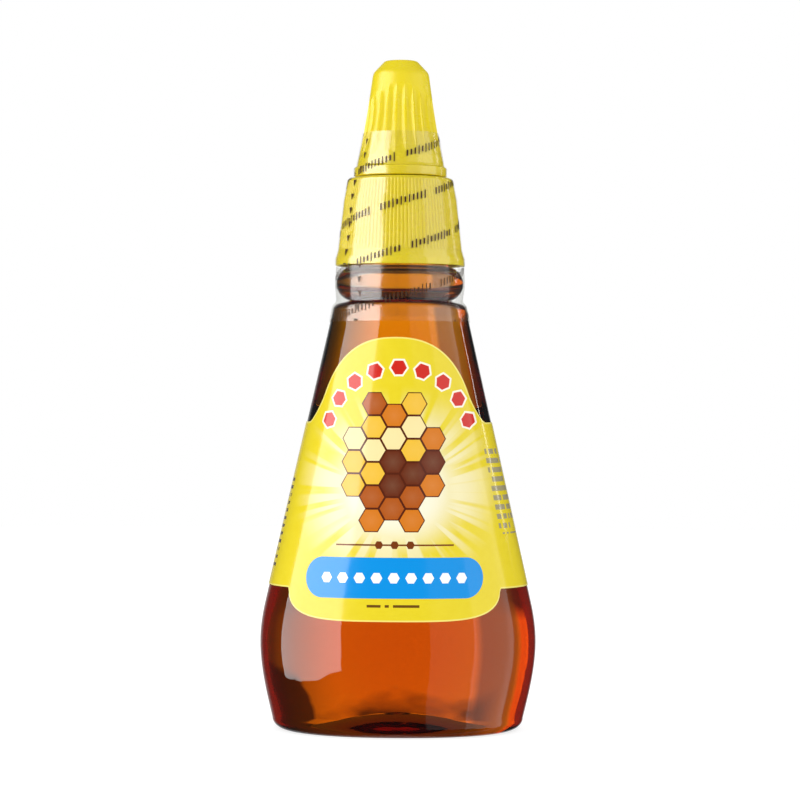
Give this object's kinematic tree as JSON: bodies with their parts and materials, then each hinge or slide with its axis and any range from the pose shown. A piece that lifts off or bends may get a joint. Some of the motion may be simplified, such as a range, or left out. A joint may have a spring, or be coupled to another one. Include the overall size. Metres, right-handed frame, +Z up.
{
  "type": "squeeze bottle",
  "caption": "Tapered clear squeeze bottle of amber honey with a ribbed screw cap, a fluted twist-open spout, a wrap label and a clear shrink film.",
  "frame": {"origin": "middle of the base, on the surface that the bottle stands on", "axes": "+Z up through the spout, -Y to the front of the label, +X to the right of someone who looks at the label"},
  "size_m": [0.0756, 0.0612, 0.1831],
  "materials": {
    "clear_pet": "clear blow-moulded PET, glossy",
    "honey": "clear amber honey",
    "printed_label": "printed film label, satin yellow with a blue panel",
    "liner_foam": "soft white closed foam",
    "yellow_polypropylene": "moulded yellow polypropylene, satin",
    "soft_seal": "soft white elastomer",
    "yellow_spout": "moulded yellow polyethylene, satin",
    "shrink_film": "clear shrunk film with dark printed marks"
  },
  "bodies": {
    "bottle": {"bottle_body": "clear_pet", "honey_fill": "honey", "wrap_label": "printed_label", "film_neck_band": "shrink_film"},
    "cap_lift": {"cap_liner": "liner_foam"},
    "cap": {"screw_cap": "yellow_polypropylene", "film_cap_band": "shrink_film"},
    "spout_lift": {"spout_seal_ring": "soft_seal"},
    "spout": {"twist_spout": "yellow_spout", "film_spout_band": "shrink_film"}
  },
  "joints": [
    {"name": "cap_rise", "type": "slide", "parent": "bottle", "child": "cap_lift", "axis": [0, 0, 1], "range_m": [0, 0.0231]},
    {"name": "cap_turn", "type": "hinge", "parent": "cap_lift", "child": "cap", "pos_m": [0, 0, 0.1478], "axis": [0, 0, 1], "range_deg": [0, 1980]},
    {"name": "spout_rise", "type": "slide", "parent": "cap", "child": "spout_lift", "axis": [0, 0, 1], "range_m": [0, 0.00375]},
    {"name": "spout_turn", "type": "hinge", "parent": "spout_lift", "child": "spout", "pos_m": [0, 0, 0.1586], "axis": [0, 0, 1], "range_deg": [0, 270]}
  ],
  "couplings": [
    {"joint": "cap_rise", "follows": "cap_turn", "m_per_rad": 0.00066845},
    {"joint": "spout_rise", "follows": "spout_turn", "m_per_rad": 0.00079577}
  ]
}
